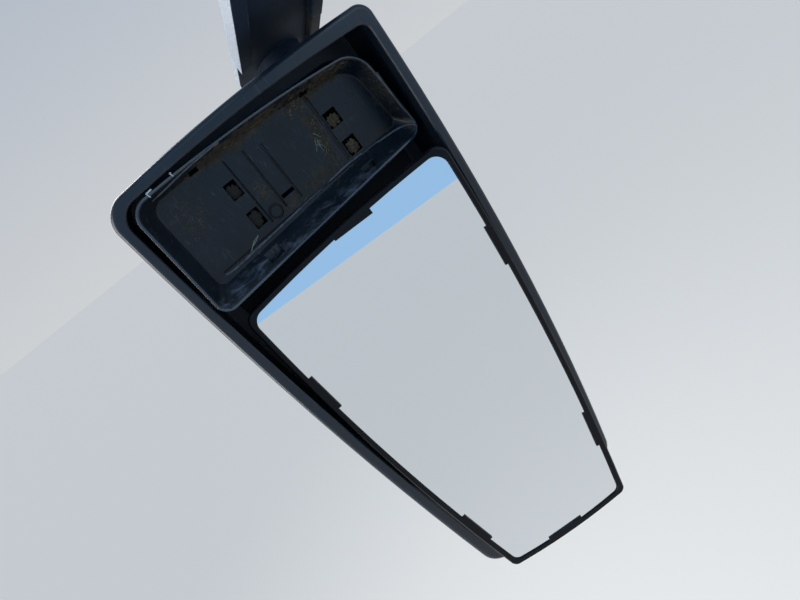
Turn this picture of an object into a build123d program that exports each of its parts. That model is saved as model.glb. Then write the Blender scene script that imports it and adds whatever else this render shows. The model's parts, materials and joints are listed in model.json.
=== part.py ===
"""Two-pane rear-view mirror of a combine harvester, on its folding arm and cab bracket.

Millimetres. +X points to the cab, +Y forwards, away from the driver, and +Z up. The origin is the
middle of the bracket's face on the cab. The head hangs at the far end of the arm with its glass
facing back, to -Y, and is a left-hand one. The upper, wide-angle glass is missing, as in the
photograph: its empty tray shows. Both panes stand as they were set, turned out of the mouth's plane.
"""
import math
import os

from build123d import *

os.makedirs("parts", exist_ok=True)

# Cab bracket and fold hinge
plate_thickness = 8.0
plate_length = 100.0
plate_height = 150.0
plate_corner_r = 12.0
bolt_spacing_y = 72.0
bolt_spacing_z = 122.0
bolt_hole_r = 5.5
hinge_offset = 60.0
hinge_pin_r = 9.0
hinge_head_r = 15.0
hinge_head_height = 7.0
eye_r = 26.0
eye_height = 62.0
ear_r = 23.0
ear_thickness = 12.0
ear_gap = 0.4
gusset_thickness = 8.0
gusset_margin = 6.0
gusset_reach = 4.0
shaft_clearance = 0.05

# Arm
arm_width = 85.0
arm_width_near = 72.0
arm_side = 12.0
arm_crown = 14.0
arm_reach = 592.0
arm_slope = 15.0
arm_bend_r = 400.0
arm_neck_start = 20.0
arm_neck_end = 105.0
arm_neck_inset = 4.0
arm_rim_near = 17.0
arm_rim_far = 11.5
arm_rim_end = 44.0
arm_recess_depth = 6.0
arm_recess_near = 20.0
arm_recess_flare = 8.0
boss_r = 22.0
boss_sink = 3.0
boss_rise = 9.0

# Post that the head swivels on
post_r = 11.0
post_side = 70.0
post_stand = 20.0
post_nut_r = 18.0
post_nut_height = 12.0
post_end = 4.0
collar_r = 17.0
collar_height = 12.0
collar_gap = 0.3

# Clamp bracket between the post and the head's back
bracket_eye_height = 24.0
bracket_eye_r = 20.0
bracket_plate = 8.0
bracket_near = 2.0
bracket_far = 76.0
bracket_corner_r = 10.0
bracket_high_eye = 192.0
bracket_low_eye = 42.0
bracket_web_start = 24.0
post_slot_gap = 3.0

# Head, seen square on: outline of the housing
head_drop = 340.0
head_height = 485.0
head_top_width = 243.0
head_bottom_width = 162.0
outer_bulge = 7.0
cab_bulge = 12.0
top_crown = 5.0
top_rise = 5.6
mouth_rise = 0.0
bottom_crown = 5.0
outer_top_corner_r = 20.0
cab_top_corner_r = 12.0
bottom_corner_r = 24.0
arm_over_head = -1.0

# Housing in depth
frame_depth = 14.0
groove_depth = 1.2
groove_width = 2.4
shell_wall = 3.0
shell_depth = 92.0
core_inset = 38.0
core_count = 5
core_rib = 8.0
lip_thickness = 4.0
lip_top = 10.5
lip_side_top = 8.9
lip_side_bottom = 11.0
lip_bottom = 7.0
lip_outer_r = 4.0
lip_inner_bevel = 1.2
mouth_sharper = 4.0

# Inner chassis that carries both panes
chassis_front = 62.0
chassis_thickness = 4.0
chassis_inset = 20.0
stalk_width = 34.0
stalk_height = 46.0
stalk_side_wall = 4.0
stalk_end_wall = 9.0
stalk_floor = 2.0
prong_length = 18.0
prong_lap = 2.0

# Pane pivots: a square hub with a pin across and a pin up
hub_half = 7.0
hub_height = 12.0
hub_gap = 4.0
pin_r = 3.0
pin_reach = 19.0
lug_inner = 12.0
lug_thickness = 4.0
lug_r = 5.5
lug_gap = 0.3

# Main glass and its carrier
main_pan = -12.0
main_tilt = -6.0
main_pivot_side = -2.5
main_pivot_height = -52.0
main_plane = -21.0
glass_thickness = 3.0
glass_gap = 0.3
carrier_plate = 2.5
carrier_rim = 5.0
carrier_proud = 1.4
carrier_bevel = 1.2
carrier_skirt = 4.0
main_side = 3.3
main_margin_side = 24.0
main_margin_low = 16.0
main_margin_tray = 10.5
main_side_bulge = 7.0
main_top_slope = 0.09
main_top_crown = 3.5
main_bottom_crown = 3.5
main_top_corner_r = 11.0
main_bottom_corner_r = 7.0
clip_length = 36.0
clip_reach = 2.8

# Wide-angle tray, its glass gone
wide_pan = 7.0
wide_drop = 66.5
wide_plane = 13.5
tray_wall = 2.4
tray_depth = 15.0
tray_floor = 2.5
tray_margin_left = 10.9
tray_margin_right = 11.0
tray_top = 53.0
tray_bottom = 51.0
tray_top_crown = 3.5
tray_top_bulge = 5.0
tray_top_drop = 9.5
tray_cab_lean = 9.0
tray_bottom_rise = 8.5
tray_draft = 14.0
tray_slope_left = 14.0
tray_slope_right = 9.0
tray_slope_top = 8.5
tray_slope_bottom = 16.0
tray_top_corner_r = 15.0
tray_cab_corner_r = 24.0
tray_bottom_corner_r = 11.0
groove_deep = 1.2
boss_ring_side = -26.4
boss_ring_height = -17.7
boss_ring_r = 6.0
boss_ring_width = 1.5

# Places worked out from the sizes
arm_thickness = arm_side + arm_crown
slope = math.radians(arm_slope)
arm_x = -hinge_offset
head_x = arm_x - post_side
post_back = shell_depth + post_stand
lip_y = arm_reach - post_back
post_y = arm_reach
arm_under = -arm_thickness / 2
half_height = head_height / 2
arm_over_middle = half_height + arm_over_head
arm_end_under = arm_over_middle - head_drop
bend_y = arm_reach - (arm_under - arm_end_under) / math.tan(slope)
head_place = Pos(head_x, lip_y, -head_drop)
wide_height = half_height - wide_drop
main_top = wide_height - tray_bottom - main_margin_tray - main_pivot_height
main_bottom = main_pivot_height + half_height - main_margin_low
main_top_half = head_top_width / 2 - main_margin_side
main_bottom_half = head_bottom_width / 2 - main_margin_side
tray_left = head_top_width / 2 - tray_margin_left
tray_right = head_top_width / 2 - tray_margin_right


def face_xz(edges):
    """A face from edges drawn in X and Z, facing -Y."""
    return Plane.XZ * make_face(edges)


def push(face, start, depth):
    """Extrude a face in the XZ plane from one depth along +Y."""
    return extrude(Pos(0, start, 0) * face, amount=depth, dir=(0, 1, 0))


def arc_side(start, end, bulge):
    """An arc from start to end that stands out to the left of that way by bulge."""
    dx, dz = end[0] - start[0], end[1] - start[1]
    length = math.hypot(dx, dz)
    middle = ((start[0] + end[0]) / 2 - dz / length * bulge, (start[1] + end[1]) / 2 + dx / length * bulge)
    return ThreePointArc(start, middle, end)


def rounded(edges, radii):
    """A face with its corners rounded: each radius goes to the corner nearest its place."""
    sketch = make_face(edges)
    for (x, z), radius in radii:
        corner = min(sketch.vertices(), key=lambda v: math.hypot(v.X - x, v.Y - z))
        sketch = fillet(corner, radius)
    return Plane.XZ * sketch


def head_face(side_top, side_bottom, top, bottom, soften=0.0, rise=top_rise):
    """The housing's outline, set in by its own amount at each side, its top rising to the cab side."""
    upper, lower = head_top_width / 2 - side_top, head_bottom_width / 2 - side_bottom
    high, low = half_height - top - top_crown, -half_height + bottom + bottom_crown
    left_top, right_top = (-upper, high - rise / 2), (upper, high + rise / 2)
    right_low, left_low = (lower, low), (-lower, low)
    edges = [
        arc_side(left_top, right_top, top_crown),
        arc_side(right_top, right_low, cab_bulge),
        arc_side(right_low, left_low, bottom_crown),
        arc_side(left_low, left_top, outer_bulge),
    ]
    corners = [
        (left_top, outer_top_corner_r + soften),
        (right_top, cab_top_corner_r + soften),
        (right_low, bottom_corner_r + soften),
        (left_low, bottom_corner_r + soften),
    ]
    return rounded(edges, corners)


def head_half(height):
    """Half the housing's width at a height, along its straight chords."""
    share = (height + half_height) / head_height
    return (head_bottom_width + (head_top_width - head_bottom_width) * share) / 2


def make_front_frame():
    body = push(head_face(0, 0, 0, 0), 0, frame_depth)
    body = fillet(body.edges().filter_by_position(Axis.Y, -0.01, 0.01), lip_outer_r)
    mouth = head_face(lip_side_top, lip_side_bottom, lip_top, lip_bottom, -mouth_sharper, mouth_rise)
    body -= push(mouth, -1, frame_depth + 2)
    inner = body.edges().filter_by_position(Axis.Y, -0.01, 0.01)
    body = chamfer([e for e in inner if abs(e.position_at(0.5).Y) < 0.01], lip_inner_bevel)
    body -= push(head_face(*[shell_wall] * 4), lip_thickness, frame_depth)
    groove = push(head_face(-5, -5, -5, -5), frame_depth - groove_width, groove_width)
    groove -= push(head_face(*[groove_depth] * 4), frame_depth - groove_width - 1, groove_width + 2)
    return body - groove


# depth from the lip, inset and softening of the corners of each section of the rear shell
shell_sections = (
    (frame_depth, 0.0, 0.0), (chassis_front + chassis_thickness, 4.0, 0.0),
    (81.0, 13.5, 4.0), (shell_depth, 32.0, 8.0),
)


def make_rear_shell():
    def section(depth, inset, soften):
        return Pos(0, depth, 0) * head_face(*[inset] * 4, soften=soften)

    shell = loft([section(*row) for row in shell_sections], ruled=True)
    shell -= loft([section(depth, inset + shell_wall, soften) for depth, inset, soften in shell_sections[:2]],
                  ruled=True)
    seat = chassis_front + chassis_thickness
    low = -half_height + core_inset
    pitch = (head_height - 2 * core_inset + core_rib) / core_count
    for _ in range(core_count):
        high = low + pitch - core_rib
        near, far = head_half(low) - core_inset, head_half(high) - core_inset
        core = make_face(Polyline((-near, low), (near, low), (far, high), (-far, high), close=True))
        shell -= push(Plane.XZ * core, seat - 1, shell_depth - shell_wall - seat + 1)
        low += pitch
    return shell


def fork(depth, side, height):
    """The chassis stalk whose two prongs hold a pivot's upright pin."""
    start = depth + prong_length - prong_lap
    bar = Plane.XZ * Rectangle(stalk_width, stalk_height)
    bore = Plane.XZ * Rectangle(stalk_width - 2 * stalk_side_wall, stalk_height - 2 * stalk_end_wall)
    stalk = Pos(side, 0, height) * push(bar, start, chassis_front - start)
    stalk -= Pos(side, 0, height) * push(bore, start - 1, chassis_front - start - stalk_floor + 1)
    for sign in (-1, 1):
        middle = height + sign * (lug_inner + lug_thickness / 2)
        prong = Pos(side, depth + prong_length / 2, middle) * Box(2 * lug_r, prong_length, lug_thickness)
        prong += Pos(side, depth, middle) * Cylinder(lug_r, lug_thickness)
        stalk += prong
        stalk -= Pos(side, depth, middle) * Cylinder(pin_r + shaft_clearance, lug_thickness + 2)
    return stalk


main_depth = main_plane + glass_thickness + carrier_plate + hub_gap + hub_half
wide_depth = wide_plane + tray_depth + tray_floor + hub_gap + hub_half


def make_chassis():
    plate = push(head_face(*[chassis_inset] * 4, soften=6), chassis_front, chassis_thickness)
    plate += fork(main_depth, main_pivot_side, main_pivot_height)
    plate += fork(wide_depth, 0, wide_height)
    return plate


def make_pivot():
    """A hub with its two crossed pins, round its own middle."""
    pin = Cylinder(pin_r, 2 * pin_reach)
    return Box(2 * hub_half, 2 * hub_half, hub_height) + pin + Rot(0, 90, 0) * pin


def pane_lugs(back):
    """The two ears behind a pane that hold the pin across, round the pivot's middle."""
    ears = None
    for sign in (-1, 1):
        middle = sign * (lug_inner + lug_thickness / 2)
        ear = Pos(middle, back / 2, 0) * Box(lug_thickness, -back, 2 * lug_r)
        ear += Pos(middle, 0, 0) * Rot(0, 90, 0) * Cylinder(lug_r, lug_thickness)
        ear -= Pos(middle, 0, 0) * Rot(0, 90, 0) * Cylinder(pin_r + shaft_clearance, lug_thickness + 2)
        ears = ear if ears is None else ears + ear
    return ears


def pane_outline(out):
    """The main glass's outline round its pivot, grown by out, its top edge rising to the cab side."""
    upper, lower = main_top_half + out, main_bottom_half + out
    rise = main_top_slope * upper
    top = main_top + out
    low = -main_bottom - out + main_bottom_crown
    left_top, right_top = (main_side - upper, top - rise), (main_side + upper, top + rise)
    right_low, left_low = (main_side + lower, low), (main_side - lower, low)
    edges = [
        arc_side(left_top, right_top, main_top_crown),
        arc_side(right_top, right_low, main_side_bulge),
        arc_side(right_low, left_low, main_bottom_crown),
        arc_side(left_low, left_top, main_side_bulge),
    ]
    corners = [
        (left_top, main_top_corner_r),
        (right_top, main_top_corner_r),
        (right_low, main_bottom_corner_r),
        (left_low, main_bottom_corner_r),
    ]
    return rounded(edges, corners)


def edge_half(height):
    """Half the main glass's width at a height, along its straight chord plus its bulge."""
    low = -main_bottom + main_bottom_crown
    share = (height - low) / (main_top - low)
    chord = main_bottom_half + (main_top_half - main_bottom_half) * share
    return chord + 4 * main_side_bulge * share * (1 - share)


# which side, and height of the middle, of each clip that laps the glass's long edges
side_clips = ((1, 88), (-1, 74), (1, -102), (-1, -117))
# which end, and place along it, of each clip that laps its top and bottom edges
end_clips = ((1, 14), (-1, 0))


def make_main_carrier():
    glass_front = main_plane - main_depth
    glass_back = glass_front + glass_thickness
    front = glass_front - carrier_proud
    depth = carrier_proud + glass_thickness + carrier_plate + carrier_skirt
    body = push(pane_outline(carrier_rim), front, depth)
    body = chamfer(body.edges().filter_by_position(Axis.Y, front - 0.01, front + 0.01), carrier_bevel)
    body -= push(pane_outline(glass_gap), front - 1, carrier_proud + glass_thickness + 1)
    body -= push(pane_outline(0), glass_back + carrier_plate, carrier_skirt + 1)
    wide = clip_reach + carrier_rim / 2
    for sign, height in side_clips:
        middle = main_side + sign * (edge_half(height) + carrier_rim / 2 - wide / 2)
        lean = sign * math.degrees(math.atan((edge_half(height + 9) - edge_half(height - 9)) / 18))
        clip = Box(wide, carrier_proud, clip_length)
        body += Pos(middle, front + carrier_proud / 2, height) * Rot(0, lean, 0) * clip
    for sign, x in end_clips:
        if sign > 0:
            edge = main_top + main_top_slope * (x - main_side) + main_top_crown
        else:
            edge = main_bottom
        clip = Pos(x, front + carrier_proud / 2, sign * (edge + carrier_rim / 2 - wide / 2))
        body += clip * Box(clip_length, carrier_proud, wide)
    body += pane_lugs(glass_back + carrier_plate)
    return body


def make_main_glass():
    return push(pane_outline(0), main_plane - main_depth, glass_thickness)


def tray_outline(inset_left, inset_right, inset_top, inset_bottom, less=0.0):
    """The wide-angle tray's outline round its pivot: square outside, its cab corner cut away."""
    left, right = -tray_left + inset_left, tray_right - inset_right
    top, bottom = tray_top - inset_top, -tray_bottom + inset_bottom
    left_top = (left, top - tray_top_crown)
    right_top = (right - tray_cab_lean, top - tray_top_crown - tray_top_drop)
    right_low, left_low = (right, bottom + tray_bottom_rise), (left, bottom)
    edges = [
        arc_side(left_top, right_top, tray_top_bulge),
        Line(right_top, right_low),
        Line(right_low, left_low),
        Line(left_low, left_top),
    ]
    corners = [
        (left_top, tray_top_corner_r - less),
        (right_top, tray_cab_corner_r - less),
        (right_low, tray_bottom_corner_r - less),
        (left_low, tray_bottom_corner_r - less),
    ]
    return rounded(edges, corners)


# middle, width and height of each clip window in the tray's floor
tray_windows = ((-41.3, 14.8, 10, 13.6), (-41.3, -12, 10, 14.5), (57.2, 9.4, 12.4, 13.6),
                (57.2, -16.7, 12.4, 14.3), (-9.5, -12.4, 12, 3), (-55.5, 43.5, 8, 4.5), (49, 38.5, 8, 4.5))
# the same of each window through the tray's bottom wall
wall_windows = ((-50, -44, 14, 16), (54.5, -42, 13, 14))
# middle, width and height of each groove in the tray's floor
tray_grooves = ((-33.7, 7, 1.2, 58), (-17.3, 6.5, 1.6, 53), (-2.8, 3.3, 1.8, 50), (48.3, 5.8, 2.6, 59),
                (0, -27.5, 176, 1.2))


def make_wide_tray():
    rim = wide_plane - wide_depth
    floor = rim + tray_depth
    slopes = tray_slope_left, tray_slope_right, tray_slope_top, tray_slope_bottom
    outside = extrude(Pos(0, rim, 0) * tray_outline(0, 0, 0, 0), amount=tray_depth + tray_floor,
                      dir=(0, 1, 0), taper=tray_draft)
    inside = loft([
        Pos(0, rim, 0) * tray_outline(tray_wall, tray_wall, tray_wall, tray_wall, less=2),
        Pos(0, floor, 0) * tray_outline(*slopes, less=4),
    ], ruled=True)
    body = outside - inside
    for x, z, width, height in wall_windows:
        body -= Pos(x, floor - tray_depth / 2, z) * Box(width, tray_depth / 2, height)
    for x, z, width, height in tray_windows:
        body -= Pos(x, floor, z) * Box(width, 4 * tray_floor, height)
    for x, z, width, height in tray_grooves:
        body -= Pos(x, floor, z) * Box(width, 2 * groove_deep, height)
    ring = Circle(boss_ring_r) - Circle(boss_ring_r - boss_ring_width)
    sunk = push(Plane.XZ * ring, floor - groove_deep, 2 * groove_deep)
    body -= Pos(boss_ring_side, 0, boss_ring_height) * sunk
    body += pane_lugs(floor + tray_floor)
    return body


def turned(solid, pan, tilt):
    """A pane piece turned about its pivot: tilt about the pin across, then pan about the upright pin."""
    return Rot(0, 0, pan) * Rot(tilt, 0, 0) * solid


def make_arm():
    path_end = arm_reach + arm_width
    end_under = arm_under - math.tan(slope) * (path_end - bend_y)
    path = FilletPolyline((arm_x, 0, arm_under), (arm_x, bend_y, arm_under), (arm_x, path_end, end_under),
                          radius=arm_bend_r)
    start = Plane(origin=(arm_x, 0, arm_under), x_dir=(-1, 0, 0), z_dir=(0, 1, 0))
    half = arm_width / 2
    profile = make_face([
        Line((-half, arm_side), (-half, 0)),
        Line((-half, 0), (half, 0)),
        Line((half, 0), (half, arm_side)),
        ThreePointArc((half, arm_side), (0, arm_thickness), (-half, arm_side)),
    ])
    bar = sweep(start * profile, path=path)
    near, neck = arm_width_near / 2, eye_r - arm_neck_inset
    plan = make_face([
        Line((-neck, 0), (-neck, arm_neck_start)),
        Line((-neck, arm_neck_start), (-near, arm_neck_end)),
        Line((-near, arm_neck_end), (-half, arm_reach)),
        ThreePointArc((-half, arm_reach), (0, arm_reach + half), (half, arm_reach)),
        Line((half, arm_reach), (near, arm_neck_end)),
        Line((near, arm_neck_end), (neck, arm_neck_start)),
        Line((neck, arm_neck_start), (neck, 0)),
        Line((neck, 0), (-neck, 0)),
    ])
    bar &= Pos(arm_x, 0, arm_end_under - arm_width) * extrude(plan, amount=head_drop)
    inner, inner_near, past = half - arm_rim_far, near - arm_rim_near, half + 5
    recess_start, rim_end = arm_neck_end + arm_recess_near, arm_reach - arm_rim_end
    channel = sweep(start * Rectangle(3 * half, 2 * arm_recess_depth), path=path)
    recess = make_face(Polyline(
        (-inner_near, recess_start), (-inner, rim_end), (-past, rim_end + arm_recess_flare),
        (-past, path_end), (past, path_end), (past, rim_end + arm_recess_flare), (inner, rim_end),
        (inner_near, recess_start),
        close=True))
    channel &= Pos(arm_x, 0, arm_end_under - arm_width) * extrude(recess, amount=head_drop)
    bar -= channel
    eye = Pos(arm_x, 0, 0) * Cylinder(eye_r, eye_height)
    boss_low = arm_end_under + boss_sink
    boss_high = arm_end_under + arm_thickness + boss_rise
    boss = Pos(arm_x, post_y, boss_low) * extrude(Circle(boss_r), amount=boss_high - boss_low)
    arm = bar + eye + boss
    arm -= Pos(arm_x, 0, 0) * Cylinder(hinge_pin_r + shaft_clearance, eye_height + 2)
    arm -= Pos(arm_x, post_y, arm_end_under - boss_r) * extrude(Circle(post_r + shaft_clearance),
                                                                amount=boss_high - arm_end_under + 2 * boss_r)
    return arm


def make_cab_bracket():
    plate = Plane.YZ * RectangleRounded(plate_length, plate_height, plate_corner_r)
    body = Pos(-plate_thickness, 0, 0) * extrude(plate, amount=plate_thickness)
    for y in (-bolt_spacing_y / 2, bolt_spacing_y / 2):
        for z in (-bolt_spacing_z / 2, bolt_spacing_z / 2):
            hole = Rot(0, 90, 0) * Cylinder(bolt_hole_r, 2 * plate_thickness)
            body -= Pos(-plate_thickness / 2, y, z) * hole
    for sign in (-1, 1):
        middle = sign * (eye_height / 2 + ear_gap + ear_thickness / 2)
        ear = Pos(arm_x, 0, middle) * Cylinder(ear_r, ear_thickness)
        ear += Pos((arm_x - plate_thickness) / 2, 0, middle) * Box(
            -arm_x - plate_thickness, 2 * ear_r, ear_thickness)
        body += ear
        outer = sign * (eye_height / 2 + ear_gap + ear_thickness)
        top = sign * (plate_height / 2 - gusset_margin)
        tip = (arm_x + ear_r + gusset_reach, outer)
        rib = make_face(Polyline((-plate_thickness, outer), (-plate_thickness, top), tip, close=True))
        body += extrude(Plane.XZ * rib, amount=gusset_thickness / 2, both=True)
    body -= Pos(arm_x, 0, 0) * Cylinder(hinge_pin_r + shaft_clearance, plate_height)
    return body


def make_hinge_pin():
    reach = eye_height / 2 + ear_gap + ear_thickness
    pin = Cylinder(hinge_pin_r, 2 * reach + 1)
    head = Pos(0, 0, reach + hinge_head_height / 2 + 0.2) * Cylinder(hinge_head_r, hinge_head_height)
    nut = extrude(RegularPolygon(hinge_head_r, 6), amount=hinge_head_height)
    return Pos(arm_x, 0, 0) * (pin + head + Pos(0, 0, -reach - hinge_head_height - 0.2) * nut)


def make_head_post():
    top = arm_end_under + arm_thickness + boss_rise + post_nut_height
    low = bracket_low_eye - bracket_eye_height / 2 - collar_gap - collar_height - post_end - head_drop
    return Pos(arm_x, post_y, low) * extrude(Circle(post_r), amount=top - low)


def make_post_nut():
    seat = arm_end_under + arm_thickness + boss_rise
    nut = extrude(RegularPolygon(post_nut_r, 6), amount=post_nut_height - 2)
    nut -= Pos(0, 0, -1) * extrude(Circle(post_r + shaft_clearance), amount=post_nut_height)
    return Pos(arm_x, post_y, seat) * nut


def make_post_collar():
    high = bracket_low_eye - bracket_eye_height / 2 - collar_gap - head_drop
    ring = extrude(Circle(collar_r) - Circle(post_r + shaft_clearance), amount=-collar_height)
    return Pos(arm_x, post_y, high) * ring


def make_head_bracket():
    high, low = bracket_high_eye, bracket_low_eye
    width, middle = bracket_far - bracket_near, (bracket_far + bracket_near) / 2
    tall = high - low + bracket_eye_height
    plate = push(Plane.XZ * RectangleRounded(width, tall, bracket_corner_r), shell_depth, bracket_plate)
    body = Pos(middle, 0, (high + low) / 2) * plate
    back = shell_depth + bracket_plate
    web_end = post_side + bracket_eye_r
    for level in (high, low):
        eye = Pos(post_side, post_back, level) * Cylinder(bracket_eye_r, bracket_eye_height)
        web = Pos((bracket_web_start + web_end) / 2, (back - 1 + post_back) / 2, level) * Box(
            web_end - bracket_web_start, post_back - back + 1, bracket_eye_height)
        body += eye + web
    for level in (high, low):
        body -= Pos(post_side, post_back, level) * Cylinder(post_r + shaft_clearance, bracket_eye_height + 2)
    slot = Pos(post_side, post_back, (high + low) / 2)
    body -= slot * Cylinder(post_r + post_slot_gap, high - low - bracket_eye_height)
    return body


main_pivot = Pos(main_pivot_side, main_depth, main_pivot_height)
wide_pivot = Pos(0, wide_depth, wide_height)

parts = {
    "cab_bracket": make_cab_bracket(),
    "hinge_pin": make_hinge_pin(),
    "arm": make_arm(),
    "head_post": make_head_post(),
    "post_nut": make_post_nut(),
    "post_collar": make_post_collar(),
    "head_bracket": head_place * make_head_bracket(),
    "rear_shell": head_place * make_rear_shell(),
    "front_frame": head_place * make_front_frame(),
    "chassis": head_place * make_chassis(),
    "main_pivot": head_place * main_pivot * turned(make_pivot(), main_pan, 0),
    "main_carrier": head_place * main_pivot * turned(make_main_carrier(), main_pan, main_tilt),
    "main_glass": head_place * main_pivot * turned(make_main_glass(), main_pan, main_tilt),
    "wide_pivot": head_place * wide_pivot * turned(make_pivot(), wide_pan, 0),
    "wide_tray": head_place * wide_pivot * turned(make_wide_tray(), wide_pan, 0),
}

for name, solid in parts.items():
    export_step(solid, f"parts/{name}.step")
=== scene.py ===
"""Looks for a combine harvester's two-pane rear-view mirror, laid out as a Blender add-on.

Run as a script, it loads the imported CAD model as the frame, dresses it and sets up the studio.
Everything is in metres in the model's own frame: +X to the cab, +Y forwards, +Z up. The head's own
pieces are drawn round the middle of its lip, and a pane's pieces round that pane's pivot.
"""
import json
import math
import random

import bmesh
import bpy
from mathutils import Euler, Matrix, Vector, noise
from mathutils.bvhtree import BVHTree
from mathutils.geometry import convex_hull_2d


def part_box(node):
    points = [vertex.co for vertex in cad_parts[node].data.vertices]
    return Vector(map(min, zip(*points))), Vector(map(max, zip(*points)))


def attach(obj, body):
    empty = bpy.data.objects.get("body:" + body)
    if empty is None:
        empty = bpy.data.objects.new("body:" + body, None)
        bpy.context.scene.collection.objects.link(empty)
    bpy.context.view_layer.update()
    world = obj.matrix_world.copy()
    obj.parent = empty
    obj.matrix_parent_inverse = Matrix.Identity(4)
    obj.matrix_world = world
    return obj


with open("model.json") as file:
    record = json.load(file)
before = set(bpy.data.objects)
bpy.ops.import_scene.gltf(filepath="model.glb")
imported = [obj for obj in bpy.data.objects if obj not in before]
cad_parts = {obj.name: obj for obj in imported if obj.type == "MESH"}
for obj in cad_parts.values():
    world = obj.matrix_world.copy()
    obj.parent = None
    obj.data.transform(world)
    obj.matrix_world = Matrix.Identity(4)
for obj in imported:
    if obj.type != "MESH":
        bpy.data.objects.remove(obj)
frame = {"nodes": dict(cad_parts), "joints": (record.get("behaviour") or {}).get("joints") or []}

bl_info = {
    "name": "Combine mirror dresser",
    "version": (1, 0, 0),
    "blender": (4, 5, 0),
    "location": "View3D > Sidebar > Mirror",
    "description": "Dresses the packed two-pane mirror and lights it",
    "category": "Object",
}

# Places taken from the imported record
joint_spots = {joint["name"]: Vector(joint["pos_m"]) for joint in frame["joints"]}
head_spot = Vector((-0.130, 0.480, -0.340))
wide_turn = Euler((0, 0, math.radians(7.0)))


def head_place(x=0.0, y=0.0, z=0.0):
    """A place in the head, in millimetres from the middle of its lip."""
    return Matrix.Translation(head_spot + Vector((x, y, z)) / 1000)


def wide_place():
    """The wide-angle pane's pivot, turned as the tray is."""
    return Matrix.Translation(joint_spots["wide_tilt"]) @ wide_turn.to_matrix().to_4x4()


def surface_finder(node, place):
    """A function that gives the point and normal of a CAD node straight behind a side and height.

    These are in millimetres from the place.
    """
    before, reach = 40, 0.034
    mesh = frame["nodes"][node].data
    faces = [tuple(p.vertices) for p in mesh.polygons]
    tree = BVHTree.FromPolygons([v.co for v in mesh.vertices], faces)
    back = (place.to_3x3() @ Vector((0, 1, 0))).normalized()

    def find(x, z):
        point, normal, _, _ = tree.ray_cast(spot_at(place, x, -before, z), back, reach)
        if point is None:
            return None, None
        return point, normal if normal.dot(back) < 0 else -normal

    return find


# ---- Node trees


class Net:
    """Adds nodes to one tree and joins them."""

    def __init__(self, tree):
        self.tree = tree
        self.made = 0

    def add(self, kind, inputs=None, **settings):
        node = self.tree.nodes.new(kind)
        node.location = (220 * (self.made % 8), -260 * (self.made // 8))
        self.made += 1
        for name, value in settings.items():
            setattr(node, name, value)
        for key, value in (inputs or {}).items():
            if isinstance(value, bpy.types.NodeSocket):
                self.tree.links.new(value, node.inputs[key])
            else:
                node.inputs[key].default_value = value
        return node

    def math(self, operation, first, second=0.0, clamp=False):
        inputs = {0: first, 1: second}
        return self.add("ShaderNodeMath", inputs, operation=operation, use_clamp=clamp).outputs[0]

    def vector_math(self, operation, *values):
        return self.add("ShaderNodeVectorMath", dict(enumerate(values)), operation=operation).outputs

    def part(self, vector, axis):
        return self.add("ShaderNodeSeparateXYZ", {0: vector}).outputs[axis]

    def times(self, first, second, clamp=False):
        return self.math("MULTIPLY", first, second, clamp)

    def plus(self, first, second, clamp=False):
        return self.math("ADD", first, second, clamp)

    def most(self, first, second, clamp=False):
        return self.math("MAXIMUM", first, second, clamp)

    def link(self, value, node, name):
        self.tree.links.new(value, node.inputs[name])

    def remap(self, value, low, high, to_low=0.0, to_high=1.0):
        inputs = {"Value": value, "From Min": low, "From Max": high, "To Min": to_low, "To Max": to_high}
        return self.add("ShaderNodeMapRange", inputs, clamp=True).outputs["Result"]

    def mix(self, factor, first, second):
        inputs = {"Factor": factor, 6: first, 7: second}
        return self.add("ShaderNodeMix", inputs, data_type="RGBA").outputs[2]

    def mix_value(self, factor, first, second):
        inputs = {"Factor": factor, 2: first, 3: second}
        return self.add("ShaderNodeMix", inputs, data_type="FLOAT").outputs[0]

    def noise(self, vector, scale, detail=4.0, rough=0.55, distort=0.0):
        inputs = {"Vector": vector, "Scale": scale, "Detail": detail, "Roughness": rough,
                  "Distortion": distort}
        return self.add("ShaderNodeTexNoise", inputs).outputs["Fac"]

    def stretch(self, vector, scale, turn=(0.0, 0.0, 0.0), shift=(0.0, 0.0, 0.0)):
        inputs = {"Vector": vector, "Scale": scale, "Rotation": turn, "Location": shift}
        return self.add("ShaderNodeMapping", inputs).outputs[0]

    def bump(self, height, strength, distance, normal=None):
        inputs = {"Height": height, "Strength": strength, "Distance": distance}
        if normal is not None:
            inputs["Normal"] = normal
        return self.add("ShaderNodeBump", inputs).outputs[0]


def new_group(name, outputs, **inputs):
    """A shader node group that takes a vector and more, and gives masks or heights.

    Returns the group, its net, what it is given and its output node.
    """
    group = bpy.data.node_groups.new(name, "ShaderNodeTree")
    for label, value in {"Vector": (0, 0, 0), **inputs}.items():
        kind = "NodeSocketVector" if isinstance(value, tuple) else "NodeSocketFloat"
        group.interface.new_socket(name=label, in_out="INPUT", socket_type=kind).default_value = value
    for label in outputs:
        group.interface.new_socket(name=label, in_out="OUTPUT", socket_type="NodeSocketFloat")
    net = Net(group)
    return group, net, net.add("NodeGroupInput").outputs, net.add("NodeGroupOutput")


def make_grain_group():
    """The fine leather-like grain of moulded plastic or a textured coat, as a height."""
    group, net, given, out = new_group("moulded_grain", ["Height"], Scale=900.0)
    inputs = {"Vector": given["Vector"], "Scale": given["Scale"]}
    cells = net.add("ShaderNodeTexVoronoi", inputs, feature="SMOOTH_F1").outputs["Distance"]
    fine = net.noise(given["Vector"], net.times(given["Scale"], 2.3), 3.0)
    net.link(net.plus(net.times(cells, 0.7), net.times(fine, 0.5)), out, "Height")
    return group


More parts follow.
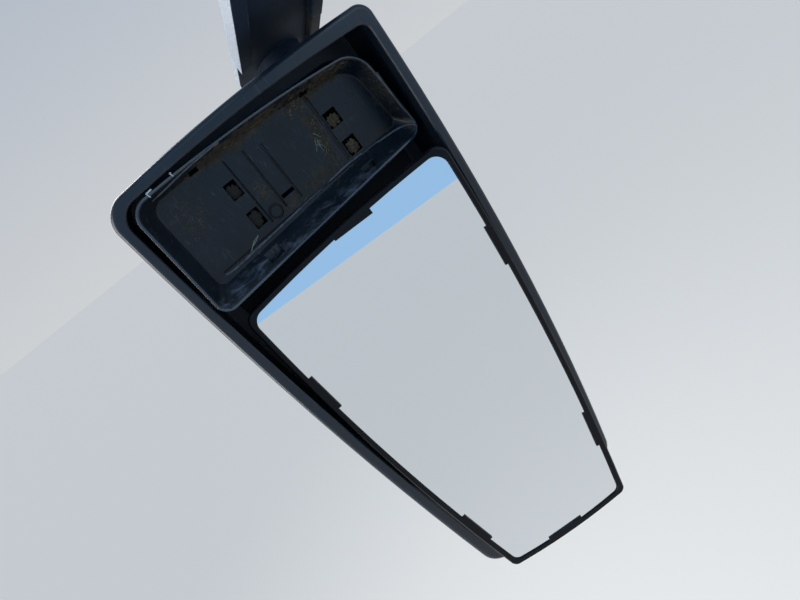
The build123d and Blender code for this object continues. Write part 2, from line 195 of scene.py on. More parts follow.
def make_dust_group():
    """Dust that lies where a surface faces up, broken up by patches and specks."""
    group, net, given, out = new_group("lying_dust", ["Cover", "Specks"], Amount=0.5, Patch=18.0, Speck=900.0)
    facing = net.part(net.add("ShaderNodeTexCoord").outputs["Normal"], "Z")
    up = net.remap(facing, -0.25, 0.95, 0.12, 1.0)
    patch = net.remap(net.noise(given["Vector"], given["Patch"], 6.0, 0.62), 0.32, 0.72)
    net.link(net.times(net.times(up, patch), given["Amount"], clamp=True), out, "Cover")
    cells = net.add("ShaderNodeTexVoronoi", {"Vector": given["Vector"], "Scale": given["Speck"]})
    size = net.noise(given["Vector"], 240.0, 2.0)
    near = net.math("LESS_THAN", cells.outputs["Distance"], net.remap(size, 0.45, 0.8, 0.0, 0.34))
    net.link(net.times(near, net.times(given["Amount"], 0.8), clamp=True), out, "Specks")
    return group


def make_scratch_group():
    """Thin scratches of many directions, as a factor."""
    group, net, given, out = new_group("scratches", ["Factor"], Scale=30.0, Amount=0.5)
    total = None
    for turn, ratio in ((0.35, 1.0), (1.2, 0.8), (2.2, 1.3)):
        along = net.stretch(given["Vector"], (1.0, 1.0, 0.045), (turn * 0.4, turn, turn * 0.7))
        lines = net.noise(along, net.times(given["Scale"], 8 * ratio), 1.0)
        thin = net.remap(net.math("ABSOLUTE", net.math("SUBTRACT", lines, 0.5)), 0.0, 0.012, 1.0, 0.0)
        where = net.noise(given["Vector"], net.times(given["Scale"], ratio), 3.0)
        line = net.times(thin, net.remap(where, 0.52, 0.68))
        total = line if total is None else net.most(total, line)
    net.link(net.times(total, given["Amount"], clamp=True), out, "Factor")
    return group


def make_crevice_group():
    """Where two surfaces meet at an inner corner, as a factor."""
    group, net, given, out = new_group("crevice", ["Factor"], Reach=0.008)
    shade = net.add("ShaderNodeAmbientOcclusion", {"Distance": given["Reach"]}, samples=8)
    hidden = net.remap(net.math("SUBTRACT", 1.0, shade.outputs["AO"]), 0.06, 0.7)
    ragged = net.remap(net.noise(given["Vector"], 160.0, 4.0), 0.2, 0.7, 0.35, 1.0)
    net.link(net.times(hidden, ragged, clamp=True), out, "Factor")
    return group


def make_edge_group():
    """Worn outer edges, as a factor."""
    group, net, given, out = new_group("edge_wear", ["Factor"], Width=0.0015, Amount=0.5)
    soft = net.add("ShaderNodeBevel", {"Radius": given["Width"]}, samples=6).outputs[0]
    hard = net.add("ShaderNodeNewGeometry").outputs["Normal"]
    edge = net.remap(net.vector_math("DOT_PRODUCT", soft, hard)["Value"], 0.985, 0.9)
    patch = net.remap(net.noise(given["Vector"], 130.0, 5.0, 0.65), 0.42, 0.62)
    net.link(net.times(net.times(edge, patch), given["Amount"], clamp=True), out, "Factor")
    return group


def make_patch_group():
    """A soft-edged patch round a place, as a mask."""
    group, net, given, out = new_group("placed_patch", ["Mask"], Middle=(0, 0, 0), Reach=(1, 1, 1))
    away = net.vector_math("SUBTRACT", given["Vector"], given["Middle"])["Vector"]
    shrunk = net.vector_math("DIVIDE", away, given["Reach"])["Vector"]
    net.link(net.remap(net.vector_math("LENGTH", shrunk)["Value"], 1.15, 0.45), out, "Mask")
    return group


makers = {
    "moulded_grain": make_grain_group, "lying_dust": make_dust_group, "scratches": make_scratch_group,
    "crevice": make_crevice_group, "edge_wear": make_edge_group, "placed_patch": make_patch_group,
}
groups = {}


def effect(net, name, vector, **inputs):
    """A shared effect's node in a material, by its outputs."""
    if name not in groups:
        groups[name] = makers[name]()
    return net.add("ShaderNodeGroup", {"Vector": vector, **inputs}, node_tree=groups[name]).outputs


def new_material(name):
    """A material with its net, its shader and the object's own coordinates."""
    material = bpy.data.materials.new(name)
    material.use_nodes = True
    material.node_tree.nodes.clear()
    net = Net(material.node_tree)
    shader = net.add("ShaderNodeBsdfPrincipled")
    net.add("ShaderNodeOutputMaterial", {"Surface": shader.outputs[0]})
    return material, net, shader, net.add("ShaderNodeTexCoord").outputs["Object"]


def lighter(colour, ratio):
    """A colour times a ratio, with a full alpha."""
    return tuple(min(1.0, c * ratio) for c in colour[:3]) + (1,)


def patches(net, vector, table, far=1e4):
    """The strongest of several placed patches: side, height, half width, half height, strength."""
    total = None
    for side, height, wide, tall, strength in table:
        mask = effect(net, "placed_patch", vector, Middle=(side, 0, height), Reach=(wide, far, tall))
        mask = net.times(mask["Mask"], strength)
        total = mask if total is None else net.most(total, mask)
    return total


def local_spot(net, spot, place, rag=0.0):
    """Object coordinates in millimetres from a place, with a ragged shift of up to rag."""
    turn = place.to_3x3().inverted()
    shift = -(turn @ place.translation) * 1000
    local = net.stretch(spot, (1000, 1000, 1000), tuple(turn.to_euler()), tuple(shift))
    if not rag:
        return local
    inputs = {"Vector": local, "Scale": 0.09, "Detail": 5.0, "Roughness": 0.62}
    wander = net.add("ShaderNodeTexNoise", inputs).outputs["Color"]
    wander = net.vector_math("SUBTRACT", wander, (0.5, 0.5, 0.5))["Vector"]
    return net.vector_math("MULTIPLY_ADD", wander, (2 * rag,) * 3, local)["Vector"]


def wire(net, shader, base, rough, normal, shine=0.5):
    """Joins a material's colour, roughness and normal to its shader."""
    net.link(base, shader, "Base Color")
    net.link(rough, shader, "Roughness")
    net.link(normal, shader, "Normal")
    shader.inputs["Specular IOR Level"].default_value = shine


def soft_edges(net, radius):
    """The normal of a surface whose sharp edges are rounded off a little."""
    return net.add("ShaderNodeBevel", {"Radius": radius}, samples=8).outputs[0]


def plastic(name, colour, rough, grain=900.0, depth=0.00006, dust=0.25, scratch=0.25, crevice=0.4, coat=0.0,
            shine=0.5, stains=()):
    """Moulded plastic: rounded edges, grain, patchy gloss, lying dust, dirt in corners and scratches."""
    colours, sizes = settings_of(bpy.context)
    material, net, shader, spot = new_material(name)
    clouds = net.noise(spot, 14.0, 5.0, 0.6)
    base = net.mix(net.remap(clouds, 0.3, 0.75), colour, lighter(colour, 1.5))
    lines = effect(net, "scratches", spot, Scale=26.0, Amount=scratch)["Factor"]
    base = net.mix(lines, base, colours.rubbed)
    edges = effect(net, "edge_wear", spot, Width=0.0012, Amount=0.22)["Factor"]
    base = net.mix(edges, base, colours.rubbed)
    if stains:
        local = local_spot(net, spot, head_place(), 5.0)
        film = net.remap(net.noise(spot, 120.0, 8.0, 0.7), 0.42, 0.62)
        base = net.mix(net.times(patches(net, local, stains, 60.0), film), base, colours.stain)
    lying = effect(net, "lying_dust", spot, Amount=dust)
    corners = net.times(effect(net, "crevice", spot, Reach=0.007)["Factor"], crevice)
    cover = net.most(net.times(lying["Cover"], 0.45), net.times(corners, 0.5))
    cover = net.most(cover, net.times(lying["Specks"], 0.6), clamp=True)
    base = net.mix(cover, base, colours.dust)
    gloss = net.remap(net.noise(spot, 35.0, 6.0, 0.6), 0.25, 0.8, rough - 0.06, rough + 0.09)
    gloss = net.plus(net.mix_value(cover, gloss, 0.85), net.times(lines, 0.2))
    height = effect(net, "moulded_grain", spot, Scale=grain)["Height"]
    normal = net.bump(height, 0.3, depth, soft_edges(net, sizes.edge_round))
    wire(net, shader, base, gloss, net.bump(cover, 0.4, 0.00015, normal), shine)
    if coat:
        shader.inputs["Coat Weight"].default_value = coat
        shader.inputs["Coat Roughness"].default_value = 0.08
    return material


def metal(name, colour, rough, rust=0.2):
    """Plated or bare steel: drawn grain, dull patches and a little rust in the corners."""
    material, net, shader, spot = new_material(name)
    lines = net.noise(net.stretch(spot, (1.0, 1.0, 0.06)), 220.0, 3.0)
    clouds = net.noise(spot, 60.0, 6.0, 0.65)
    base = net.mix(net.remap(clouds, 0.3, 0.7), colour, lighter(colour, 0.55))
    corners = effect(net, "crevice", spot, Reach=0.005)["Factor"]
    bloom = net.times(net.remap(net.noise(spot, 90.0, 8.0, 0.7), 0.55, 0.72), rust * 2)
    brown = net.most(net.times(corners, rust), bloom, clamp=True)
    base = net.mix(brown, base, settings_of(bpy.context)[0].rust)
    net.link(net.math("SUBTRACT", 1.0, brown, clamp=True), shader, "Metallic")
    gloss = net.plus(net.remap(lines, 0.3, 0.7, rough - 0.08, rough + 0.08), net.times(brown, 0.4))
    normal = net.bump(net.plus(lines, brown), 0.2, 0.00015, soft_edges(net, 0.0006))
    wire(net, shader, base, gloss, normal)
    return material


def make_mirror_material():
    """Silvered glass with a faint film of dust, water spots and a few rubbed marks."""
    material, net, shader, spot = new_material("silvered_glass")
    film = net.remap(net.noise(spot, 9.0, 6.0, 0.6, 0.4), 0.5, 0.85)
    cells = net.add("ShaderNodeTexVoronoi", {"Vector": spot, "Scale": 520.0})
    size = net.remap(net.noise(spot, 60.0, 3.0), 0.55, 0.85, 0.0, 0.26)
    specks = net.math("LESS_THAN", cells.outputs["Distance"], size)
    rubbed = effect(net, "scratches", spot, Scale=14.0, Amount=0.2)["Factor"]
    dirt = net.plus(net.times(film, 0.03), net.times(specks, 0.22), clamp=True)
    glass = settings_of(bpy.context)[0].glass
    net.link(net.mix(dirt, glass, (0.5, 0.45, 0.38, 1)), shader, "Base Color")
    net.link(net.math("SUBTRACT", 1.0, net.times(dirt, 0.6)), shader, "Metallic")
    rough = net.plus(net.times(dirt, 0.3), net.times(rubbed, 0.06))
    net.link(net.plus(rough, 0.006), shader, "Roughness")
    return material


# where dirt lies in the tray: side and height from its pivot, half width, half height, strength
soil_spots = (
    (-14, 42, 66, 7, 1.0), (60, 37, 40, 8, 1.0), (40, 8, 8, 30, 0.9), (-80, 20, 24, 26, 0.5),
    (-86, -8, 14, 16, 0.4), (24, -19, 28, 9, 0.75), (-25, 3, 8, 14, 0.7), (-13, -20, 14, 7, 0.8),
    (104, 6, 8, 34, 0.55), (57, -4, 9, 22, 0.5), (30, -29, 70, 3, 0.5),
)
# the pale scuffs and films of its walls, in the same columns
scuff_spots = (
    (0, -44, 108, 8, 0.7), (-38, -46, 9, 5, 1.0), (40, -46, 9, 4, 1.0), (74, -43, 16, 6, 1.0),
    (-92, -44, 14, 7, 1.0), (-66, -40, 16, 5, 0.9), (107, -34, 7, 12, 0.8),
)


def make_tray_material():
    """The empty tray's satin blue-black plastic, with the dirt that gathered behind its lost glass, and
    painted shade in its corners, grooves and slots.
    """
    colours, sizes = settings_of(bpy.context)
    material, net, shader, spot = new_material("tray_plastic")
    tray = colours.tray
    local = local_spot(net, spot, wide_place(), 9.0)
    clouds = net.noise(spot, 22.0, 6.0, 0.6)
    base = net.mix(net.remap(clouds, 0.3, 0.7), tray, lighter(tray, 1.9))
    # grooves, slots and what lies behind the floor are darkened as painted shade
    sunk = net.remap(net.part(local_spot(net, spot, wide_place()), "Y"), -13.3, -12.8)
    # water-laid film and scuffs on the walls
    along = net.stretch(spot, (0.4, 1, 1.3), (0, 0.12, 0))
    film = net.remap(net.noise(along, 150.0, 8.0, 0.7, 0.7), 0.47, 0.68)
    pale = net.times(patches(net, local, scuff_spots), film, clamp=True)
    base = net.mix(net.times(pale, 0.85), base, colours.film)
    # soil, laid where the table says, with crumbs in it
    crumbs = net.noise(spot, 330.0, 9.0, 0.76, 0.6)
    where = patches(net, local, soil_spots)
    edge = net.math("SUBTRACT", 0.66, net.times(where, 0.26))
    soil = net.times(net.math("GREATER_THAN", where, 0.02),
                    net.remap(net.math("SUBTRACT", crumbs, edge), 0.0, 0.07), clamp=True)
    tone = net.remap(net.noise(spot, 90.0, 5.0, 0.6), 0.3, 0.7)
    earth = colours.soil
    base = net.mix(net.times(where, 0.35), base, lighter(earth, 0.45))
    base = net.mix(soil, base, net.mix(tone, lighter(earth, 0.6), lighter(earth, 2.1)))
    # painted shade: the tray is darkened where two surfaces meet at an inner corner
    corners = effect(net, "crevice", spot, Reach=0.003)["Factor"]
    base = net.mix(net.times(corners, 0.6), base, lighter(tray, 0.2))
    # painted shade in the grooves, slots and behind the floor
    base = net.mix(net.times(sunk, 0.85), base, lighter(tray, 0.15))
    scuffs = effect(net, "scratches", spot, Scale=60.0, Amount=0.4)["Factor"]
    base = net.mix(scuffs, base, colours.film)
    lying = effect(net, "lying_dust", spot, Amount=0.2, Speck=1300.0)
    cover = net.most(net.times(lying["Cover"], 0.2), net.times(lying["Specks"], 0.7))
    base = net.mix(cover, base, colours.dust)
    rough = net.remap(net.noise(spot, 45.0, 6.0, 0.65), 0.3, 0.75, 0.22, 0.4)
    rough = net.mix_value(net.most(soil, net.times(pale, 0.6)), rough, 0.88)
    bumps = net.bump(crumbs, net.times(where, 0.8), 0.0008, soft_edges(net, sizes.edge_round * 1.4))
    wire(net, shader, base, rough, net.bump(clouds, 0.1, 0.001, bumps), 0.3)
    return material


def make_arm_material():
    """The arm's textured black coat, with a painted highlight: the side that faces away from the cab is
    painted pale and grainy, as if sunlit.
    """
    colours, _ = settings_of(bpy.context)
    material, net, shader, spot = new_material("arm_coat")
    facing = net.part(net.add("ShaderNodeTexCoord").outputs["Normal"], "X")
    # only the bar's outer side, not the boss or the recess, gets the painted sunlight
    lit_side_facing = net.times(net.times(facing, -1.0), net.remap(net.part(spot, "X"), -0.090, -0.094))
    pits = net.noise(spot, 1500.0, 3.0, 0.6)
    clouds = net.noise(spot, 26.0, 6.0, 0.6)
    coat = colours.coat
    base = net.mix(net.remap(clouds, 0.3, 0.7), coat, lighter(coat, 1.7))
    # painted highlight: the outer side is mixed towards the pale coat colour, broken up by pits
    sunlit_and_worn_coat = net.times(net.remap(lit_side_facing, 0.55, 0.9), net.remap(pits, 0.38, 0.58, 0.35, 1.0), clamp=True)
    base = net.mix(sunlit_and_worn_coat, base, colours.sunlit_and_worn_coat)
    edges = effect(net, "edge_wear", spot, Width=0.0012, Amount=0.4)["Factor"]
    base = net.mix(edges, base, lighter(colours.sunlit_and_worn_coat, 0.5))
    lying = effect(net, "lying_dust", spot, Amount=0.25)
    cover = net.most(net.times(lying["Cover"], 0.5), net.times(lying["Specks"], 0.6))
    base = net.mix(cover, base, colours.dust)
    rough = net.mix_value(net.most(cover, sunlit_and_worn_coat), net.remap(clouds, 0.3, 0.7, 0.55, 0.68), 0.85)
    wire(net, shader, base, rough, net.bump(pits, 0.35, 0.0002, soft_edges(net, 0.0016)), 0.08)
    return material


def plain(name, colour, rough, spread=0.2, scale=120.0, depth=0.0002):
    """A small piece's material: one colour, mottled and slightly rough."""
    material, net, shader, spot = new_material(name)
    mottle = net.noise(spot, scale, 5.0, 0.6)
    low, high = lighter(colour, 1 - spread), lighter(colour, 1 + spread)
    base = net.mix(net.remap(mottle, 0.3, 0.7), low, high)
    gloss = net.remap(mottle, 0.3, 0.7, rough - 0.06, rough + 0.08)
    wire(net, shader, base, gloss, net.bump(mottle, 0.4, depth))
    return material


# ---- Mesh helpers


def put(name, mesh_maker, material, body, angle=35.0):
    """Makes one piece: its mesh, its finish and the body that it rides on."""
    bm = bmesh.new()
    mesh_maker(bm)
    bmesh.ops.remove_doubles(bm, verts=bm.verts, dist=1e-6)
    bmesh.ops.recalc_face_normals(bm, faces=bm.faces)
    if bm.calc_volume(signed=True) < 0:
        bmesh.ops.reverse_faces(bm, faces=bm.faces)
    for face in bm.faces:
        face.smooth = True
    for edge in bm.edges:
        edge.smooth = edge.calc_face_angle(0.0) < math.radians(angle)
    mesh = bpy.data.meshes.new(name)
    bm.to_mesh(mesh)
    bm.free()
    piece = bpy.data.objects.new(name, mesh)
    bpy.context.scene.collection.objects.link(piece)
    mesh.materials.append(material)
    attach(piece, body)


def put_in_tray(name, mesh_maker, material, angle=35.0):
    put(name, mesh_maker, material, "wide_pane", angle)


def spot_at(place, x, y, z):
    """A point in metres, from millimetres in a place's own frame."""
    return place @ (Vector((x, y, z)) / 1000)


def circle(count):
    """Cosine and sine at equal steps round a circle."""
    return [(math.cos(2 * math.pi * i / count), math.sin(2 * math.pi * i / count)) for i in range(count)]


def half_circle(steps):
    """Cosine and sine at equal steps from one end of a half circle to the other."""
    return [(math.cos(math.pi * k / steps), math.sin(math.pi * k / steps)) for k in range(steps + 1)]


def ring_loft(bm, rings, capped=True):
    """Joins rings of points of equal number with faces and closes the two ends."""
    made = [[bm.verts.new(p) for p in ring] for ring in rings]
    for a, b in zip(made, made[1:]):
        for i in range(len(a)):
            j = (i + 1) % len(a)
            bm.faces.new((a[i], a[j], b[j], b[i]))
    if capped:
        bm.faces.new(list(reversed(made[0])))
        bm.faces.new(made[-1])


def turned_form(bm, place, profile, segments):
    """A turned form about the place's Z. Profile rows are (radius, height) in millimetres."""
    ring_loft(bm, [[spot_at(place, radius * c, radius * s, height) for c, s in circle(segments)]
                   for radius, height in profile])


def hexagon(bm, place, across, low, high, chamfer=0.8):
    """A hexagon head or nut whose top is turned down to a circle, in millimetres."""
    corners = circle(6)
    outline = []
    for (ax, ay), (bx, by) in zip(corners, corners[1:] + corners[:1]):
        outline += [(ax, ay), ((ax + bx) / 2, (ay + by) / 2)]
    outer, top_radius = across / math.sqrt(3), across / 2 * 0.97
    rings = []
    for height in (low, high - chamfer, high):
        ring = []
        for x, y in outline:
            reach = outer if height < high else top_radius / math.hypot(x, y)
            ring.append(spot_at(place, x * reach, y * reach, height))
        rings.append(ring)
    ring_loft(bm, rings)


def tube(bm, points, radius, sides, taper):
    """A thin round strand through points in metres, as thick at each as its taper says."""
    rings = []
    for i, point in enumerate(points):
        before, after = points[max(i - 1, 0)], points[min(i + 1, len(points) - 1)]
        along = (after - before).normalized()
        across = along.orthogonal().normalized()
        up = along.cross(across)
        rings.append([point + radius * taper[i] * (c * across + s * up) for c, s in circle(sides)])
    ring_loft(bm, rings)


# ---- Settings


def colour_choice(name, description, value):
    return bpy.props.FloatVectorProperty(name=name, description=description, subtype="COLOR", size=4,
                                         default=(*value, 1), min=0.0, max=1.0)


def length_choice(name, description, value):
    return bpy.props.FloatProperty(name=name, description=description, unit="LENGTH", default=value,
                                   min=0.0, precision=5)


def count_choice(name, description, value, most):
    return bpy.props.IntProperty(name=name, description=description, default=value, min=0, max=most)


class MirrorColours(bpy.types.PropertyGroup):
    """Colours of the mirror's finishes."""

    housing: colour_choice("Housing", "Moulded housing and lip", (0.0028, 0.0088, 0.0172))
    inner: colour_choice("Inside", "Chassis behind the panes", (0.006, 0.007, 0.009))
    tray: colour_choice("Tray", "Tray of the missing wide-angle glass", (0.0020, 0.0055, 0.0095))
    bezel: colour_choice("Bezel", "Glossy rim round the main glass", (0.0012, 0.0018, 0.0032))
    glass: colour_choice("Glass", "Silvered main glass", (0.9, 0.915, 0.92))
    coat: colour_choice("Arm coat", "Textured coat of the arm", (0.010, 0.0185, 0.034))
    # painted sunlight on the arm's outer side, and at half strength its worn edges
    sunlit_and_worn_coat: colour_choice("Sunlit and worn coat", "Painted sunlight on the outer side, and worn edges", (0.50, 0.54, 0.60))
    paint: colour_choice("Bracket paint", "Brackets at the cab and at the head", (0.009, 0.010, 0.013))
    nylon: colour_choice("Pivots", "Nylon of the panes' pivots", (0.2, 0.2, 0.19))
    zinc: colour_choice("Zinc", "Plated pins, nuts and bolts", (0.5, 0.5, 0.47))
    rust: colour_choice("Rust", "Rust on the plated pieces", (0.16, 0.06, 0.022))
    rubbed: colour_choice("Rubbed plastic", "Scratches and rubbed edges", (0.09, 0.1, 0.115))
    dust: colour_choice("Dust", "Dust on what faces up", (0.2, 0.18, 0.145))
    soil: colour_choice("Soil", "Soil left in the tray", (0.040, 0.031, 0.020))
    film: colour_choice("Film", "Pale film and scuffs on the tray's walls", (0.15, 0.175, 0.215))
    stain: colour_choice("Stain", "Reddish dirt inside the lip", (0.05, 0.026, 0.02))
    straw: colour_choice("Straw", "Pale bits of straw", (0.21, 0.15, 0.065))
    chaff: colour_choice("Chaff", "Brown bits of chaff", (0.075, 0.052, 0.028))
    web: colour_choice("Web", "Cobweb and the pale streak", (0.17, 0.17, 0.13))
    floor: colour_choice("Floor", "Studio floor", (0.66, 0.63, 0.58))


class MirrorSizes(bpy.types.PropertyGroup):
    """Sizes and numbers of what is added to the CAD pieces."""

    straw_count: count_choice("Straw", "Number of bits of straw and chaff in the empty tray", 360, 900)
    crumb_count: count_choice("Crumbs", "Number of crumbs of soil in the empty tray", 420, 2000)
    web_strands: count_choice("Web strands", "Number of strands in the pale streak", 11, 40)
    straw_length: length_choice("Straw length", "Longest bit of straw", 0.0075)
    straw_radius: length_choice("Straw radius", "Radius of the thickest bit of straw", 0.00024)
    edge_round: length_choice("Edge rounding", "How far sharp moulded edges look rounded off", 0.0009)
    bead_width: length_choice("Bead width", "Width of the raised bead round the tray's floor", 0.0022)
    rim_width: length_choice("Rim bead", "Width of the glossy bead on the tray's rim", 0.0022)
    bolt_across: length_choice("Bolt", "Width across the flats of the clamp's bolts", 0.013)
    screw_head: length_choice("Screw head", "Diameter of the housing's screw heads", 0.0085)
    light_power: bpy.props.FloatProperty(
        name="Light", description="How strong the studio's lamps are, 1 as rendered", default=1.0,
        min=0.0, max=5.0, subtype="FACTOR")


def settings_of(context):
    return context.scene.mirror_colours, context.scene.mirror_sizes


def finish_nodes(finishes):
    """Gives CAD nodes their finish and smooths them between their sharp edges."""
    for node, material in finishes.items():
        piece = frame["nodes"][node]
        piece.data.materials.clear()
        piece.data.materials.append(material)
        for face in piece.data.polygons:
            face.use_smooth = True
        piece.data.set_sharp_from_angle(angle=math.radians(32))


# ---- The CAD pieces' finishes

# reddish dirt inside the lip's cab-side top corner, in the columns of the tray's soil but in the head
lip_stains = ((103, 222, 12, 7, 0.9), (96, 214, 9, 5, 0.6))


class MIRROR_OT_housing(bpy.types.Operator):
    """Finishes the moulded housing, its lip and the chassis inside it"""

    bl_idname = "mirror.housing"
    bl_label = "Housing"

    def execute(self, context):
        colours, _ = settings_of(context)
        shell = plastic("housing_black", colours.housing, 0.34)
        lip = plastic("lip_black", colours.housing, 0.3, dust=0.12, crevice=0.2, stains=lip_stains)
        inner = plastic("inner_black", colours.inner, 0.6, dust=0.2, scratch=0.1, shine=0.2)
        finish_nodes({"rear_shell": shell, "front_frame": lip, "chassis": inner})
        return {"FINISHED"}


class MIRROR_OT_panes(bpy.types.Operator):
    """Finishes the main glass, its bezel and both panes' pivots"""

    bl_idname = "mirror.panes"
    bl_label = "Main pane and pivots"

    def execute(self, context):
        colours, _ = settings_of(context)
        bezel = plastic("bezel_gloss", colours.bezel, 0.24, depth=0.00002, dust=0.04, scratch=0.1,
                        crevice=0.05, shine=0.2)
        nylon = plain("grey_nylon", colours.nylon, 0.5)
        finish_nodes({"main_carrier": bezel, "main_glass": make_mirror_material(),
                      "main_pivot": nylon, "wide_pivot": nylon})
        return {"FINISHED"}


class MIRROR_OT_tray(bpy.types.Operator):
    """Finishes the empty tray of the wide-angle glass"""

    bl_idname = "mirror.tray"
    bl_label = "Empty tray"

    def execute(self, context):
        finish_nodes({"wide_tray": make_tray_material()})
        return {"FINISHED"}


class MIRROR_OT_arm(bpy.types.Operator):
    """Finishes the arm and the brackets at its two ends"""

    bl_idname = "mirror.arm"
    bl_label = "Arm and brackets"

    def execute(self, context):
        colours, _ = settings_of(context)
        paint = plastic("bracket_paint", colours.paint, 0.42, grain=500.0, dust=0.4, scratch=0.5)
        finish_nodes({"arm": make_arm_material(), "cab_bracket": paint, "head_bracket": paint})
        return {"FINISHED"}


class MIRROR_OT_steel(bpy.types.Operator):
    """Finishes the hinge pin, the post, its nut and its collar"""

    bl_idname = "mirror.steel"
    bl_label = "Plated steel"

    def execute(self, context):
        zinc = settings_of(context)[0].zinc
        finish_nodes({
            "hinge_pin": metal("pin_zinc", zinc, 0.36, rust=0.35),
            "head_post": metal("post_black_zinc", lighter(zinc, 0.05), 0.5),
            "post_nut": metal("nut_zinc", zinc, 0.38),
            "post_collar": metal("collar_zinc", zinc, 0.36),
        })
        return {"FINISHED"}


# ---- Litter in the empty tray

# clumps of litter: side and height from the tray's pivot, spread each way, share of the bits
chaff_clumps = (
    (62, 38, 24, 4, 0.34), (36, 33, 9, 5, 0.17), (42, 14, 3, 11, 0.15), (-14, 42, 40, 2.5, 0.10),
    (37, -8, 4, 9, 0.07), (-28, 2, 4, 8, 0.05), (-82, 14, 12, 14, 0.03), (10, -20, 24, 5, 0.04),
    (100, 8, 4, 22, 0.05),
)
# lumps behind the windows: side, height, half width and half height
pale_lumps = ((57.4, 7.6, 5.6, 5.6), (58.0, -18.0, 5.4, 6.0))
dark_lumps = ((-41.0, 13.4, 4.8, 6.4), (-41.6, -13.0, 4.8, 6.8))
# the dry stalk's two strands
stalk_strands = (
    ((-49.4, -22.5), (-53.6, -24.6), (-58.3, -26.3), (-62.7, -28.6)),
    ((-49.4, -22.5), (-54.6, -23.6), (-59.6, -26.6), (-61.0, -29.8)),
)


def clump_spot(chance):
    """A random place in one of the clumps."""
    pick = chance.random()
    for x, z, wide, tall, share in chaff_clumps:
        pick -= share
        if pick <= 0:
            break
    return chance.gauss(x, wide / 1.6), chance.gauss(z, tall / 1.6)


def tray_finder():
    """The tray's place, and what finds points on the tray."""
    place = wide_place()
    return place, surface_finder("wide_tray", place)


def laid(find, spots, lift):
    """Points on the tray at places in millimetres, lifted off it a little."""
    found = [find(x, z) for x, z in spots]
    return [point + lift * normal for point, normal in found if point is not None]


def add_straw(bm, sizes, chance, count, thick):
    """Curved bits of straw, strewn over the clumps. Their thickness is against the thickest."""
    place, find = tray_finder()
    across, upward = place.to_3x3() @ Vector((1, 0, 0)), place.to_3x3() @ Vector((0, 0, 1))
    for _ in range(count):
        point, normal = find(*clump_spot(chance))
        if point is None:
            continue
        angle = chance.gauss(0.5, 0.9)
        along = math.cos(angle) * across + math.sin(angle) * upward
        along = (along - along.dot(normal) * normal).normalized()
        side = along.cross(normal)
        length = sizes.straw_length * (0.15 + 0.85 * chance.random() ** 2.2)
        bend, lift = chance.uniform(-0.25, 0.25), chance.uniform(0.0, 0.12)
        radius = sizes.straw_radius * thick * chance.uniform(0.35, 1.0)
        points = []
        for part in (-0.5, -0.25, 0.0, 0.25, 0.5):
            curve = 0.25 - part * part
            points.append(point + length * (part * along + bend * curve * side)
                          + (radius + length * lift * (curve + 0.1)) * normal)
        tube(bm, points, radius, 4, (0.5, 0.9, 1.0, 0.9, 0.4))


def add_crumbs(bm, count):
    """Crumbs of soil of random sizes, a little flattened onto the tray."""
    flat = 0.55
    place, find = tray_finder()
    chance = random.Random(21)
    for _ in range(count):
        point, _ = find(*clump_spot(chance))
        if point is None:
            continue
        size = 0.00022 + 0.0008 * chance.random() ** 3
        turn = Euler([chance.uniform(0, 6.3) for _ in range(3)]).to_matrix()
        for vert in bmesh.ops.create_icosphere(bm, subdivisions=1, radius=1.0)["verts"]:
            co = turn @ (vert.co * chance.uniform(0.6, 1.25)) * size
            vert.co = point + place.to_3x3() @ Vector((co.x, co.y * flat, co.z))


def add_mud(bm, lumps):
    """Ragged lumps of mud that fill windows: rings that widen from a crumbled face to a flat back."""
    place = wide_place()
    face, back, steps = -11.5, -10.6, 11
    for x, z, wide, tall in lumps:
        rings = []
        for level in range(1, steps + 2):
            share = min(level, steps) / steps
            ring = []
            for c, s in circle(56):
                rag = 0.95 + 0.42 * noise.fractal(Vector((2.1 * c, 2.1 * s, x + z)), 0.8, 2.2, 4)
                reach = share * min(rag / max(abs(c), abs(s)) ** 0.4, 1.12)
                side, up = x + reach * wide * c, z + reach * tall * s
                crumbled = noise.fractal(Vector((side, up, z)) * 1.1, 0.8, 2.1, 6)
                depth = back if level > steps else face + 0.8 * share ** 3 - 0.3 * crumbled
                ring.append(spot_at(place, side, depth, up))
            rings.append(ring)
        ring_loft(bm, rings)


def add_streak(bm, strands):
    """Thin strands that run down the tray from one place, each with a wander of its own."""
    middle_x, middle_z = 35.0, 3.0
    find = tray_finder()[1]
    chance = random.Random(5)
    for strand in range(strands):
        lean = chance.gauss(-0.1, 0.3)
        x, z = middle_x + chance.gauss(0, 1.1), middle_z + chance.gauss(0, 3.0)
        reach = chance.uniform(3.0, 10.0)
        spots = []
        for step in range(8):
            part = step / 7
            wander = 0.7 * part * math.sin(5.1 * part + strand)
            spots.append((x + reach * part * math.sin(lean) + wander, z - reach * part * math.cos(lean)))
        line = laid(find, spots, 0.0002)
        if len(line) > 2:
            thick = [1.0 - 0.75 * k / len(line) + 0.25 * math.sin(2.3 * k + strand) for k in range(len(line))]
            tube(bm, line, chance.uniform(0.00022, 0.0005), 5, thick)


def add_stalk(bm):
    """A dry stalk that is bent and split into two strands."""
    find = tray_finder()[1]
    for strand in stalk_strands:
        tube(bm, laid(find, strand, 0.0006), 0.00032, 6, (0.7, 1.1, 1.0, 0.6))


class MIRROR_OT_chaff(bpy.types.Operator):
    """Adds the bits of straw and chaff left in the empty tray"""

    bl_idname = "mirror.chaff"
    bl_label = "Straw and chaff"

    def execute(self, context):
        colours, sizes = settings_of(context)
        # name, colour, share of the bits, thickness against the thickest
        kinds = (("tray_chaff", colours.chaff, 0.72, 0.8), ("tray_straw", colours.straw, 0.28, 1.0))
        for name, tint, share, thick in kinds:
            chance, count = random.Random(name), int(sizes.straw_count * share)
            put_in_tray(name, lambda bm: add_straw(bm, sizes, chance, count, thick),
                        plain(name, tint, 0.75, 0.5, 500.0))
        return {"FINISHED"}


